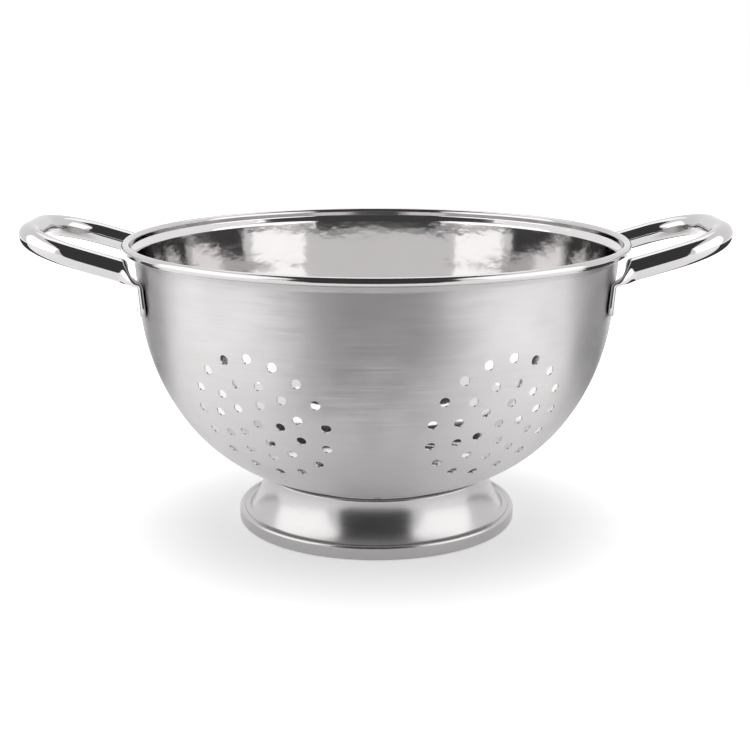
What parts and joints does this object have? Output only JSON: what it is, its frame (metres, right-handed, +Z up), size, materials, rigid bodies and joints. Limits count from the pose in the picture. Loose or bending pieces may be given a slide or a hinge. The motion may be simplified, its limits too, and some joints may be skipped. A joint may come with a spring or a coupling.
{
  "type": "colander",
  "caption": "Footed steel colander: a deep round bowl with a rolled rim and rosettes of drain holes, on a flared foot ring, with a bent tube handle at each side.",
  "frame": {"origin": "middle of the foot ring, on the table", "axes": "+Z up through the bowl's mouth, +X out along the right handle, +Y away from the viewer of the picture"},
  "size_m": [0.3472, 0.25, 0.153],
  "materials": {
    "bowl_steel": "satin brushed outside, polished inside",
    "foot_steel": "satin gloss",
    "handle_steel": "mirror polished stainless steel",
    "weld_steel": "weld metal"
  },
  "bodies": {
    "root": {"bowl": "bowl_steel", "foot_ring": "foot_steel", "foot_ring_welds": "weld_steel", "right_handle": "handle_steel", "right_handle_welds": "weld_steel", "left_handle": "handle_steel", "left_handle_welds": "weld_steel"}
  },
  "joints": []
}
